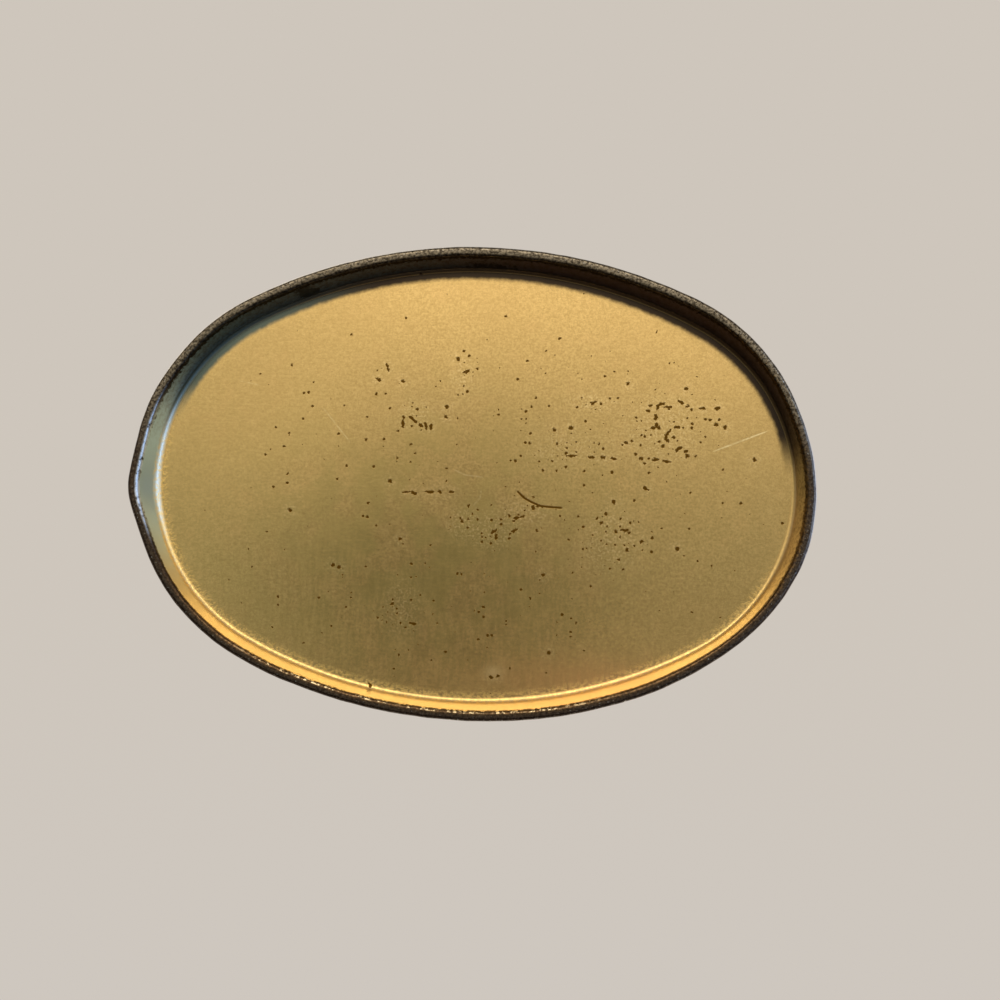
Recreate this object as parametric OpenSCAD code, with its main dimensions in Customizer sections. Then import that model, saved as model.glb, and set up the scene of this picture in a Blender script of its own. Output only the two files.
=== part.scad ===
// Oval tea tin with a double-seamed base and a slip lid, upright on its base seam.
// The origin is the middle of the base at the level it stands on, with +X along the oval
// and the side seam at the -X end.

/* [Tin] */
// Length over the base seam
tin_length = 100; // [84:0.5:130]
// Width over the base seam
tin_width = 69.5; // [56:0.5:78]
// Height with the lid on
tin_height = 110; // [80:0.5:160]
// Half of the angle that each long side's arc spans, in degrees
side_angle = 28; // [24:1:34]
// Thickness of the tinplate
sheet = 0.25; // [0.2:0.01:0.3]

/* [Base] */
// Height of the double seam
seam_height = 3; // [2.6:0.1:3.6]
// Depth of the bottom panel inside the seam
panel_depth = 4; // [3.2:0.1:5]
// Sideways run of the wall between the seam's crest and the panel
wall_run = 1.2; // [0.8:0.1:1.6]
// Bend between that wall and the panel
foot_bend = 1; // [0.6:0.1:1.4]
// Bend at each edge of the seam's crest
crest_bend = 0.4; // [0.32:0.02:0.44]
// Height of the sealing compound in the seam
compound_height = 0.5; // [0.3:0.05:0.7]

/* [Body] */
// Fold at the mouth, measured down the wall
hem_height = 3; // [2:0.1:4]
// Distance from the mouth to the middle of the bead that holds the collar
bead_drop = 8; // [7:0.1:10]
// Height of the bead
bead_height = 3.2; // [2.8:0.1:4]
// Depth of the bead
bead_depth = 0.5; // [0.3:0.05:0.6]
// Bend of the bead
bead_bend = 1.2; // [0.8:0.1:1.6]
// Width of the locked side seam
lock_width = 5; // [4:0.1:6]
// Width of the line that the side seam leaves outside
lock_line = 0.2; // [0.1:0.05:0.3]
// Width of the solder beside the lock
solder_width = 0.8; // [0.4:0.1:1.2]

/* [Collar] */
// Height of the collar above the mouth
collar_rise = 12; // [8:0.5:13]
// Depth of the collar below the mouth
collar_drop = 14; // [12.5:0.5:20]
// Fold at the collar's top edge
collar_hem = 2.5; // [1.5:0.1:4]
// Gap between the collar's ends, at the side seam
collar_gap = 10; // [9:0.5:14]

/* [Lid] */
// Height of the lid
lid_height = 20; // [18:0.5:26]
// Bend between the lid's skirt and its top
shoulder_bend = 2.5; // [1.5:0.1:4]
// Width of the border round the raised panel
lid_border = 6; // [5:0.1:9]
// Rise of the raised panel above the border
panel_rise = 1.2; // [0.6:0.1:1.6]
// Sideways run of the raised panel's slope
rise_run = 1.5; // [1:0.1:2]
// Bend at the foot and top of that slope
rise_bend = 0.8; // [0.4:0.1:1]
// Outside diameter of the curled edge
curl = 1.2; // [1:0.05:1.4]

/* [Fits] */
// Gap between sheets that are folded on each other
fold_gap = 0.04; // [0.03:0.01:0.06]
// Gap between the lid's skirt and the collar
lid_gap = 0.2; // [0.15:0.01:0.3]
// Gap between the lid's curl and the mouth that it rests on
seat_gap = 0.1; // [0.05:0.01:0.2]

/* [Hidden] */
$fn = 96;

// Colours of bare tinplate, lacquers, solder and compound
TINPLATE = [0.72, 0.72, 0.70];
BROWN_LACQUER = [0.13, 0.09, 0.07];
GOLD_LACQUER = [0.80, 0.64, 0.34];
SOLDER = [0.55, 0.55, 0.56];
COMPOUND = [0.42, 0.30, 0.22];

// Steps in each bend, and the least distance between two points of an outline
bend_steps = 5;
least_step = 0.001;

// The oval is four arcs, tangent where they meet: an end arc at each end of X, a side arc at each side
half_length = tin_length / 2;
half_width = tin_width / 2;
centre_distance = (half_length - half_width) / (sin(side_angle) + cos(side_angle) - 1);
end_centre = centre_distance * sin(side_angle);
side_centre = centre_distance * cos(side_angle);
end_radius = half_length - end_centre;
side_radius = end_radius + centre_distance;

// Folded sheets lie one layer apart. Places across the wall count inwards from the oval's edge
layer = sheet + fold_gap;
outer_seam = -sheet / 2;
body_hook = outer_seam - layer;
end_hook = outer_seam - 2 * layer;
wall = outer_seam - 3 * layer;
chuck_wall = outer_seam - 4 * layer;
hem = wall - layer;
collar = hem - layer;
wall_outside = wall + sheet / 2;
skirt = collar + sheet + lid_gap;

// Heights
panel_level = panel_depth + sheet / 2;
flange_level = sheet / 2 + layer;
flange_centre = flange_level + layer;
seam_turn = seam_height - sheet / 2;
body_hook_tip = seam_turn - layer;
end_hook_tip = flange_centre + compound_height + fold_gap;
mouth = tin_height - lid_height - seat_gap;
bead_level = mouth - bead_drop;
lid_edge = mouth + seat_gap;
lid_panel = tin_height - sheet / 2;
lid_shelf = lid_panel - panel_rise;
curl_bend = (curl - sheet) / 2;
curl_level = lid_edge + sheet / 2;

// Each flat panel is an oval plate that laps over the inner edge of the sheet swept round it
panel_lap = 1;
base_foot = chuck_wall - wall_run;
base_panel_edge = base_foot - 2 * foot_bend;
lid_panel_edge = skirt - lid_border - rise_run - 2 * rise_bend;

// The locked side seam, from above the base to below the bead, in places along the wall from its middle
lock_half = lock_width / 2;
lock_radius = end_radius + wall_outside;
lock_degrees = 180 / (PI * lock_radius);
lock_foot = panel_depth + 2 * sheet;
lock_top = bead_level - bead_height / 2 - layer;

// Moves its children in two steps, whole microns and the rest, so that the arcs' ends meet
module place(at) {
  whole = [for (c = at) round(c * 1000) / 1000];
  translate(whole) translate(at - whole) children();
}

// Sweeps an outline, drawn as places across the wall and heights, round the oval.
// At a point inside the outline, a small key laps each joint between two arcs
module sweep(key) {
  for (half_turn = [0, 180]) rotate(half_turn) {
    place([end_centre, 0, 0])
      rotate_extrude(angle = 180 - 2 * side_angle, start = side_angle - 90)
        place([end_radius, 0]) children();
    place([0, -side_centre, 0])
      rotate_extrude(angle = 2 * side_angle, start = 90 - side_angle)
        place([side_radius, 0]) children();
    for (joint = [-1, 1])
      translate([end_centre, 0, key.y]) rotate(joint * (90 - side_angle))
        translate([end_radius + key.x, 0, 0]) cube([sheet / 2, sheet, sheet / 2], center = true);
  }
}

// The oval's area, with its edge moved by an amount
module oval(moved) {
  for (side = [-1, 1]) translate([side * end_centre, 0]) circle(end_radius + moved);
  intersection() {
    translate([0, -side_centre]) circle(side_radius + moved);
    translate([0, side_centre]) circle(side_radius + moved);
    square([2 * (end_centre + (end_radius + moved) * sin(side_angle)), tin_width], center = true);
  }
}

// A flat panel at a level of the sheet's middle
module panel(edge, level) {
  translate([0, 0, level - sheet / 2]) linear_extrude(sheet) oval(edge + panel_lap);
}

// Direction from one corner of a bent sheet's middle line to the next
function heading(a, b) = atan2(b.y - a.y, b.x - a.x);

// Angle that the middle line turns through, positive to the left
function turned(before, after) =
  let (d = after - before) d > 180 ? d - 360 : d < -180 ? d + 360 : d;

// Point beside the middle line, at a heading and a distance to its left
function beside(p, at, left) = [p.x - left * sin(at), p.y + left * cos(at)];

// Points round the bend at corner b, along the face on one side of the sheet
function bend(a, b, c, side) =
  let (
    from = heading(a, b),
    turn = turned(from, heading(b, c)),
    hand = sign(turn),
    run = b.z * tan(abs(turn) / 2),
    start = [b.x - run * cos(from), b.y - run * sin(from)],
    centre = beside(start, from, hand * b.z),
    reach = hand * side * sheet / 2 - b.z
  )
  [for (i = [0 : bend_steps]) beside(centre, from + turn * i / bend_steps, hand * reach)];

// Points along the face on one side of a bent sheet
function sheet_face(line, side) =
  let (
    last = len(line) - 1,
    half = side * sheet / 2,
    bends = [for (i = [1 : last - 1]) each bend(line[i - 1], line[i], line[i + 1], side)]
  )
  concat(
    [beside(line[0], heading(line[0], line[1]), half)],
    bends,
    [beside(line[last], heading(line[last - 1], line[last]), half)]
  );

// The same points without those that fall together
function apart(points) =
  [for (i = [0 : len(points) - 1]) if (i == 0 || norm(points[i] - points[i - 1]) > least_step) points[i]];

// Outline of a bent sheet, from its middle line's corners as [place, height, bend]
module bent_sheet(line) {
  left = apart(sheet_face(line, 1));
  right = apart(sheet_face(line, -1));
  polygon(concat(left, [for (i = [len(right) - 1 : -1 : 0]) right[i]]));
}

// A stretch of the side seam, between two layers counted from the outside and two places along the wall
module lock_leg(outer_layer, inner_layer, from, to) {
  inner = lock_radius - (inner_layer - 1) * layer - sheet;
  outer = lock_radius - (outer_layer - 1) * layer;
  translate([-end_centre, 0, lock_foot])
    rotate_extrude(angle = (to - from) * lock_degrees, start = 180 + from * lock_degrees)
      translate([inner, 0]) square([outer - inner, lock_top - lock_foot]);
}

// Folds of the side seam: each edge of the sheet hooks round the other
module lock_folds() {
  near = -lock_half;
  far = lock_half;
  step = near - lock_line - sheet;
  into_wall = 1.5;
  lock_leg(2, 2, near + layer, far);
  lock_leg(3, 3, near, far - layer);
  lock_leg(4, 4, step, far);
  lock_leg(into_wall, 3, near, near + sheet);
  lock_leg(2, 4, far - sheet, far);
  lock_leg(into_wall, 4, step, step + sheet);
}

module body_wall() {
  color(BROWN_LACQUER) {
    difference() {
      sweep([wall, mouth / 2]) bent_sheet([
        [body_hook, body_hook_tip],
        [body_hook, flange_level, layer],
        [wall, flange_level, layer],
        [wall, bead_level - bead_height / 2, bead_bend],
        [wall - bead_depth, bead_level, bead_bend],
        [wall, bead_level + bead_height / 2, bead_bend],
        [wall, mouth - sheet / 2, layer / 2],
        [hem, mouth - sheet / 2, layer / 2],
        [hem, mouth - hem_height]
      ]);
      lock_leg(0, 1, -lock_half - lock_line, -lock_half);
    }
    lock_folds();
  }
}

// A point beside the side seam, from its place across the wall and along it
function seam_point(across, along) =
  let (r = end_radius + across, at = 180 + along * lock_degrees) [r * cos(at) - end_centre, r * sin(at)];

module side_seam_solder() {
  against_wall = wall - sheet / 2 - fold_gap;
  against_fold = lock_half + fold_gap;
  color(SOLDER) translate([0, 0, lock_foot]) linear_extrude(lock_top - lock_foot) polygon([
    seam_point(against_wall, against_fold),
    seam_point(against_wall, against_fold + solder_width),
    seam_point(against_wall - 3 * layer, against_fold)
  ]);
}

module base_end() {
  color(GOLD_LACQUER) {
    sweep([outer_seam, seam_height / 2]) bent_sheet([
      [base_panel_edge, panel_level],
      [base_foot, panel_level, foot_bend],
      [chuck_wall, sheet / 2, crest_bend],
      [outer_seam, sheet / 2, crest_bend],
      [outer_seam, seam_turn, layer],
      [end_hook, seam_turn, layer],
      [end_hook, end_hook_tip]
    ]);
    panel(base_panel_edge, panel_level);
  }
}

module base_seam_compound() {
  half = sheet / 2;
  top = flange_centre + compound_height;
  middle = [end_hook, flange_centre + compound_height / 2];
  round_foot = [
    for (i = [0 : 2 * bend_steps]) beside([end_hook, flange_centre], 90 + 90 * i / bend_steps, half)
  ];
  color(COMPOUND) sweep(middle)
    polygon(concat(round_foot, [[end_hook + half, top], [end_hook - half, top]]));
}

module neck_collar() {
  top = mouth + collar_rise - sheet / 2;
  foot = mouth - collar_drop;
  color(TINPLATE) difference() {
    sweep([collar, mouth]) bent_sheet([
      [collar, foot],
      [collar, bead_level - bead_height / 2, bead_bend],
      [collar - bead_depth, bead_level, bead_bend],
      [collar, bead_level + bead_height / 2, bead_bend],
      [collar, top, layer / 2],
      [collar - layer, top, layer / 2],
      [collar - layer, mouth + collar_rise - collar_hem]
    ]);
    translate([-tin_length, -collar_gap / 2, foot - sheet])
      cube([tin_length, collar_gap, collar_drop + collar_rise + 2 * sheet]);
  }
}

module lid_cap() {
  curl_out = skirt + 2 * curl_bend;
  curl_top = curl_level + 2 * curl_bend;
  shelf_edge = skirt - lid_border;
  color(BROWN_LACQUER) {
    sweep([skirt, lid_edge + lid_height / 2]) bent_sheet([
      [lid_panel_edge, lid_panel],
      [shelf_edge - rise_run, lid_panel, rise_bend],
      [shelf_edge, lid_shelf, rise_bend],
      [skirt, lid_shelf, shoulder_bend],
      [skirt, curl_level, curl_bend],
      [curl_out, curl_level, curl_bend],
      [curl_out, curl_top, curl_bend],
      [skirt + curl_bend, curl_top]
    ]);
    panel(lid_panel_edge, lid_panel);
  }
}

body_wall();
side_seam_solder();
base_end();
base_seam_compound();
neck_collar();
lid_cap();
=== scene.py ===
import math
from functools import partial, partialmethod, reduce
from itertools import pairwise

import bpy
from mathutils import Matrix, Vector, noise


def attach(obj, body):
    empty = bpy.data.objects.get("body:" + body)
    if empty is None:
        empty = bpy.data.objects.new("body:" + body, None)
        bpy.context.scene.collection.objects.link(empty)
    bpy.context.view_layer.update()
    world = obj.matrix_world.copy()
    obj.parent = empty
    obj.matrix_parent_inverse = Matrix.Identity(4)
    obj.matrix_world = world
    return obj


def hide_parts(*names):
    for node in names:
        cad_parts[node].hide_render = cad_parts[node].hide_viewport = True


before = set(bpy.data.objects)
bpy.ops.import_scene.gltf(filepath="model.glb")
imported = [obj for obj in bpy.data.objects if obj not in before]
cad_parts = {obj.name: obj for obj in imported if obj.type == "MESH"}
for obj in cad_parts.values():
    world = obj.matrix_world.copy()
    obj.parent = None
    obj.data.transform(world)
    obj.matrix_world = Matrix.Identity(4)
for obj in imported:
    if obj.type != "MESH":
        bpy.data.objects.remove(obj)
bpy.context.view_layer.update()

# Sizes of the tin in millimetres, as in the part's source

MM = 0.001
SHEET = 0.25
FOLD_GAP = 0.04
LAYER = SHEET + FOLD_GAP
HALF_LENGTH = 50
HALF_WIDTH = 34.75
HEIGHT = 110
SIDE_ANGLE = math.radians(28)

CENTRE_DISTANCE = (HALF_LENGTH - HALF_WIDTH) / (math.sin(SIDE_ANGLE) + math.cos(SIDE_ANGLE) - 1)
END_CENTRE = CENTRE_DISTANCE * math.sin(SIDE_ANGLE)
SIDE_CENTRE = CENTRE_DISTANCE * math.cos(SIDE_ANGLE)
END_RADIUS = HALF_LENGTH - END_CENTRE
SIDE_RADIUS = END_RADIUS + CENTRE_DISTANCE
END_RUN = END_RADIUS * (math.pi / 2 - SIDE_ANGLE)
SIDE_RUN = SIDE_RADIUS * 2 * SIDE_ANGLE
PERIMETER = 4 * END_RUN + 2 * SIDE_RUN

# Places of the sheets across the wall, from the outer edge of the rim
OUTER_SEAM = -SHEET / 2
BODY_HOOK = OUTER_SEAM - LAYER
END_HOOK = OUTER_SEAM - 2 * LAYER
WALL = OUTER_SEAM - 3 * LAYER
CHUCK_WALL = OUTER_SEAM - 4 * LAYER
HEM = WALL - LAYER
COLLAR = HEM - LAYER
SKIRT = COLLAR + SHEET + 0.2

SEAM_HEIGHT = 3
SEAM_TURN = SEAM_HEIGHT - SHEET / 2
FLANGE_LEVEL = SHEET / 2 + LAYER
END_HOOK_TOP = FLANGE_LEVEL + LAYER + 0.54
PANEL_LEVEL = 4 + SHEET / 2
BASE_FOOT = CHUCK_WALL - 1.2
BASE_PANEL_EDGE = BASE_FOOT - 2
CREST_BEND = 0.4
FOOT_BEND = 0.85

MOUTH = 89.9
HEM_LENGTH = 3
BEAD_LEVEL = MOUTH - 8
BEAD_HALF = 1.6
BEAD_DEPTH = 0.5
BEAD_BEND = 1.2
LOCK_FOOT = 4.5
LOCK_TOP = BEAD_LEVEL - BEAD_HALF - LAYER
LOCK_HALF = 2.5
LOCK_OVERLAP = 0.25
LOCK_LINE = (LOCK_HALF, LOCK_HALF + 0.2)
LINE_EDGE = 0.06
LINE_DEPTH = 0.16

LID_EDGE = 90
LID_PANEL = HEIGHT - SHEET / 2
LID_SHELF = LID_PANEL - 1.2
LID_STEP = 1.5
LID_STEP_BEND = 0.8
SHOULDER_BEND = 2.5
SHELF_EDGE = SKIRT - 6
LID_PANEL_EDGE = SHELF_EDGE - 3.1
CURL_BEND = 0.475

COLLAR_TOP = MOUTH + 12 - SHEET / 2
COLLAR_FOOT = MOUTH - 14
COLLAR_HEM = MOUTH + 12 - 2.5
COLLAR_GAP = 10

COMPOUND_LEVEL = FLANGE_LEVEL + LAYER
COMPOUND_TOP = COMPOUND_LEVEL + 0.5
SOLDER_WIDTH = 0.8
SOLDER_HOLLOW = 0.4
SOLDER_FLOW = 0.05

# How finely the meshes are divided

AROUND = 400
BEND_STEPS = 9
BASE_RINGS = 44
LID_RINGS = 30
FOLD_STEPS = 24
ROUND_STEPS = 8
SHORTEST_STEP = 1e-4
UV_UNIT = 100

# Camera, below the tin and facing its base

CAMERA_DISTANCE = 0.24
CAMERA_LEAN_X = math.radians(4.2)
CAMERA_LEAN_Y = math.radians(5.2)
CAMERA_AIM = (0.00424, 0.00271, 0.0)
CAMERA_ROLL = math.radians(1.7)
CAMERA_ANGLE = math.radians(33.61)
IMAGE_SIDE = 1000

scene = bpy.context.scene
scene.view_settings.view_transform = "Standard"


def placed(name, data):
    """A new object in the scene."""
    made = bpy.data.objects.new(name, data)
    scene.collection.objects.link(made)
    return made


camera_data = bpy.data.cameras.new("photo_camera")
camera_data.angle = CAMERA_ANGLE
camera_data.clip_start = 0.01
camera = placed("photo_camera", camera_data)
scene.camera = camera
camera.location = (
    CAMERA_DISTANCE * math.tan(CAMERA_LEAN_X),
    CAMERA_DISTANCE * math.tan(CAMERA_LEAN_Y),
    -CAMERA_DISTANCE,
)
ahead = (Vector(CAMERA_AIM) - camera.location).normalized()
right = ahead.cross(Vector((0, -1, 0))).normalized()
facing_turn = Matrix((right, right.cross(ahead), -ahead)).transposed()
camera_turn = facing_turn @ Matrix.Rotation(CAMERA_ROLL, 3, "Z")
camera.rotation_euler = camera_turn.to_euler()


def seen_at(x, y, level):
    """Millimetres from the middle of the tin to what a pixel of the photograph shows at a level."""
    half = IMAGE_SIDE / 2
    reach = math.tan(CAMERA_ANGLE / 2) / half
    ray = camera_turn @ Vector(((x - half) * reach, (half - y) * reach, -1))
    spot = camera.location + ray * ((level * MM - camera.location.z) / ray.z)
    return (spot.x / MM, spot.y / MM)


# Outlines of bent sheets, as places across the wall and heights


def beside(point, heading, left):
    """The point at a distance to the left of a point on a line with a heading."""
    return (point[0] - left * math.sin(heading), point[1] + left * math.cos(heading))


def bent_face(corners, side, steps):
    """One face of a bent sheet, from its middle line's corners as (place, height, bend)."""
    headings = [math.atan2(b[1] - a[1], b[0] - a[0]) for a, b in pairwise(corners)]
    half = side * SHEET / 2
    points = [beside(corners[0], headings[0], half)]
    for corner, before, after in zip(corners[1:], headings, headings[1:]):
        turn = (after - before + math.pi) % (2 * math.pi) - math.pi
        hand = math.copysign(1, turn)
        run = corner[2] * math.tan(abs(turn) / 2)
        start = (corner[0] - run * math.cos(before), corner[1] - run * math.sin(before))
        centre = beside(start, before, hand * corner[2])
        reach = hand * half - corner[2]
        for i in range(steps + 1):
            points.append(beside(centre, before + turn * i / steps, hand * reach))
    points.append(beside(corners[-1], headings[-1], half))
    return points


def divided(points, longest):
    """The same line with points added, so that no step is longer than a length."""
    made = [points[0]]
    for a, b in pairwise(points):
        length = math.dist(a, b)
        if length < SHORTEST_STEP:
            continue
        count = max(1, math.ceil(length / longest))
        for i in range(1, count + 1):
            t = i / count
            made.append((a[0] + (b[0] - a[0]) * t, a[1] + (b[1] - a[1]) * t))
    return made


OUTER, INNER = 0, 1


def sheet(line, outer_side, outer_step, inner_step):
    """A bent sheet's outer face, its whole outline and the finish of each step of that."""
    outside = divided(bent_face(line, outer_side, BEND_STEPS), outer_step)
    inside = divided(bent_face(line, -outer_side, BEND_STEPS), inner_step)
    finishes = [OUTER] * len(outside) + [INNER] * len(inside)
    return outside, outside + inside[::-1], finishes


def bead(place):
    """Corners of the bead rolled in under the mouth, in a sheet at a place."""
    return [
        (place, BEAD_LEVEL - BEAD_HALF, BEAD_BEND),
        (place - BEAD_DEPTH, BEAD_LEVEL, BEAD_BEND),
        (place, BEAD_LEVEL + BEAD_HALF, BEAD_BEND),
    ]


def hem(place, top, foot):
    """Corners of a sheet's upper edge, folded flat to the inside."""
    return [(place, top, LAYER / 2), (place - LAYER, top, LAYER / 2), (place - LAYER, foot)]


def length_to(outline, height):
    """Length along an outline to its first point at or above a height."""
    run = 0
    for a, b in pairwise(outline):
        if b[1] >= height:
            break
        run += math.dist(a, b)
    return run


# Places round the oval

# The oval's arcs from the -X end towards +Y, as centre, radius, first outward angle and length
QUARTER = math.pi / 2
ARCS = [
    ((-END_CENTRE, 0), END_RADIUS, math.pi, END_RUN),
    ((0, -SIDE_CENTRE), SIDE_RADIUS, QUARTER + SIDE_ANGLE, SIDE_RUN),
    ((END_CENTRE, 0), END_RADIUS, QUARTER - SIDE_ANGLE, 2 * END_RUN),
    ((0, SIDE_CENTRE), SIDE_RADIUS, SIDE_ANGLE - QUARTER, SIDE_RUN),
    ((-END_CENTRE, 0), END_RADIUS, -QUARTER - SIDE_ANGLE, math.inf),
]


def oval_place(run):
    """Arc centre, arc radius and outward angle at a run from the -X end towards +Y."""
    run %= PERIMETER
    for centre, radius, angle, length in ARCS:
        if run < length:
            return centre, radius, angle - run / radius
        run -= length


def on_oval(run, place, height):
    """A point in metres, at a run along the oval, a place across its edge and a height."""
    centre, radius, angle = oval_place(run)
    reach = radius + place
    x = centre[0] + reach * math.cos(angle)
    y = centre[1] + reach * math.sin(angle)
    return Vector((x, y, height)) * MM


def even_runs(count, extra=()):
    """Runs all the way round from the -X end, evenly spaced, with some added."""
    return sorted({round(i * PERIMETER / count, 4) for i in range(count)} | set(extra))


RUNS = even_runs(AROUND)


def from_seam(run):
    """A run counted both ways from the side seam at the -X end, positive towards +Y."""
    return (run + PERIMETER / 2) % PERIMETER - PERIMETER / 2


def smooth(value, low, high):
    """0 below low, 1 above high and an even rise between."""
    t = min(1, max(0, (value - low) / (high - low)))
    return t * t * (3 - 2 * t)


def hump(value, middle, half):
    """1 at the middle of a smooth hump, with about 0.6 at each half width."""
    return math.exp(-(((value - middle) / half) ** 2) / 2)


# The dent at the side seam, which carries the base seam outwards, and the seam's own unevenness

KINK_RUN = 2.6
KINK_REACH = 0.7
KINK_HALF = 3.0
KINK_FADE = 14
SWELL_REACH = 0.28
SWELL_RISE = (-20, -10)
SWELL_FALL = (0, 14)
PANEL_STILL = (-3.0, -1.1)

# Slow dents of the whole rim, as run from the side seam, reach and half width
RIM_DENTS = [
    (24, -0.06, 6), (38, 0.12, 3), (84, 0.3, 9), (97, 0.26, 5), (108, -0.3, 6), (127, 0.2, 3.5),
    (-90, 0.1, 8), (-102, 0.2, 5), (-124, -0.3, 6),
]

# Marks of the seaming rolls across the rim and under it, as reach, scale and seed
ROLL_MARKS = [(0.05, 2.1, 3.0), (0.06, 9, 8.0)]
FOOT_MARKS = (0.03, 1.3, 5.0)


def kink(run):
    """How far the rim stands out at a run: a blunt corner, a swelling and slow dents."""
    run = from_seam(run)
    swell = SWELL_REACH * smooth(run, *SWELL_RISE) * (1 - smooth(run, *SWELL_FALL))
    dents = sum(reach * hump(run, middle, half) for middle, reach, half in RIM_DENTS)
    return KINK_REACH * hump(run, KINK_RUN, KINK_HALF) + swell + dents


def uneven(run, reach, scale, seed):
    """Smooth unevenness along the rim, between about minus and plus a reach."""
    angle = 2 * math.pi * run / PERIMETER
    radius = PERIMETER / (2 * math.pi * scale)
    spot = Vector((radius * math.cos(angle), radius * math.sin(angle), seed))
    return reach * noise.noise(spot)


def dented(run, place, height):
    """A place and height in the seam or the wall above it, after the kink and the rolls' marks."""
    low = 1 - smooth(height, SEAM_HEIGHT, SEAM_HEIGHT + 2)
    rolled = sum(uneven(run, *marks) for marks in ROLL_MARKS)
    place += kink(run) * (1 - smooth(height, SEAM_HEIGHT, KINK_FADE)) + rolled * low
    height += uneven(run, *FOOT_MARKS) * (1 - smooth(height, 0, SEAM_HEIGHT / 2))
    return place, height


def base_moved(run, place, height):
    """The same for the base, whose panel stays where it is."""
    share = smooth(place, *PANEL_STILL)
    pairs = zip((place, height), dented(run, place, height))
    return tuple(still + (moved - still) * share for still, moved in pairs)


def body_moved(run, place, height):
    """The same for the wall, with the side seam's line pressed in outside."""
    outer = place > WALL
    place, height = dented(run, place, height)
    at_line = LOCK_LINE[0] <= from_seam(run) <= LOCK_LINE[1]
    if outer and at_line and LOCK_FOOT < height < LOCK_TOP:
        place -= LINE_DEPTH
    return place, height


def base_waves(x, y, share):
    """Slow unevenness of the thin base panel, none at its edge."""
    return 0.1 * noise.noise(Vector((x / 34, y / 26, 0.7))) * (1 - share**6)


def lid_waves(x, y, share):
    """Slow unevenness of the lid's panel, sunk a little so that it stays below its edge."""
    return (0.08 * noise.noise(Vector((x / 30, y / 30, 4.2))) - 0.08) * (1 - share**4)


# Meshes


class Shell:
    """Points, faces, finishes and profile coordinates of one piece."""

    def __init__(self):
        self.points = []
        self.faces = []
        self.finishes = []
        self.profile = []

    def add_point(self, point):
        """Adds a point and returns its number."""
        self.points.append(point)
        return len(self.points) - 1

    def add_face(self, corners, finish, profile=None):
        """Adds a face, with the profile coordinates of its corners."""
        self.faces.append(corners)
        self.finishes.append(finish)
        self.profile.extend(profile or [(0, 0)] * len(corners))

    def sweep(self, runs, outline, finishes, moved=None, closed=True, looped=True):
        """Sweeps an outline along runs round the oval. Returns the point numbers by run."""
        rows = []
        for run in runs:
            spots = [moved(run, *spot) if moved else spot for spot in outline]
            rows.append([self.add_point(on_oval(run, *spot)) for spot in spots])
        travelled = [0]
        for a, b in zip(outline, outline[1:] + outline[:1]):
            travelled.append(travelled[-1] + math.dist(a, b))
        steps = len(outline) if looped else len(outline) - 1
        last = len(runs) if closed else len(runs) - 1
        for i in range(last):
            j = (i + 1) % len(runs)
            u = runs[i] / UV_UNIT
            v = (runs[j] + (PERIMETER if j == 0 else 0)) / UV_UNIT
            for k in range(steps):
                m = (k + 1) % len(outline)
                low, high = travelled[k] / UV_UNIT, travelled[k + 1] / UV_UNIT
                self.add_face(
                    (rows[i][k], rows[j][k], rows[j][m], rows[i][m]),
                    finishes[k],
                    ((u, low), (v, low), (v, high), (u, high)),
                )
        return rows

    def join(self, below, over, finish):
        """Joins two rings of points by faces."""
        for i in range(len(below)):
            j = (i + 1) % len(below)
            self.add_face((below[i], below[j], over[j], over[i]), finish)

    def cap(self, rows, finish):
        """Closes both ends of an open sweep."""
        for row in (rows[0], rows[-1]):
            self.add_face(tuple(row), finish)

    def panel(self, edge, rings, finish, waves):
        """Fills a panel from its edge's points to the middle, with waves in its height."""
        before = edge
        for ring in range(1, rings):
            share = 1 - ring / rings
            row = []
            for number in edge:
                rim = self.points[number]
                spot = Vector((rim.x * share, rim.y * share, rim.z))
                spot.z += waves(spot.x / MM, spot.y / MM, share) * MM
                row.append(self.add_point(spot))
            self.join(before, row, finish)
            before = row
        level = self.points[edge[0]].z + waves(0, 0, 0) * MM
        middle = self.add_point(Vector((0, 0, level)))
        for i in range(len(edge)):
            self.add_face((before[i], before[(i + 1) % len(edge)], middle), finish)

    def piece(self, name, materials, body, nodes):
        """Makes the object, riding on a body in place of its nodes."""
        mesh = bpy.data.meshes.new(name)
        mesh.from_pydata(self.points, [], self.faces)
        mesh.polygons.foreach_set("material_index", self.finishes)
        mesh.polygons.foreach_set("use_smooth", [True] * len(self.faces))
        flat = [c for pair in self.profile for c in pair]
        mesh.uv_layers.new(name="profile").data.foreach_set("uv", flat)
        made = placed(name, mesh)
        for material in materials:
            mesh.materials.append(material)
        bpy.context.view_layer.objects.active = made
        made.select_set(True)
        bpy.ops.object.mode_set(mode="EDIT")
        bpy.ops.mesh.select_all(action="SELECT")
        bpy.ops.mesh.normals_make_consistent(inside=False)
        bpy.ops.object.mode_set(mode="OBJECT")
        made.select_set(False)
        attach(made, body)
        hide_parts(*nodes)


# Materials


def tone(*values):
    """A linear colour from the three 0 to 255 values of a screen colour."""
    shares = [value / 255 for value in values]
    linear = [s / 12.92 if s <= 0.04045 else ((s + 0.055) / 1.055) ** 2.4 for s in shares]
    return (*linear, 1)


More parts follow.
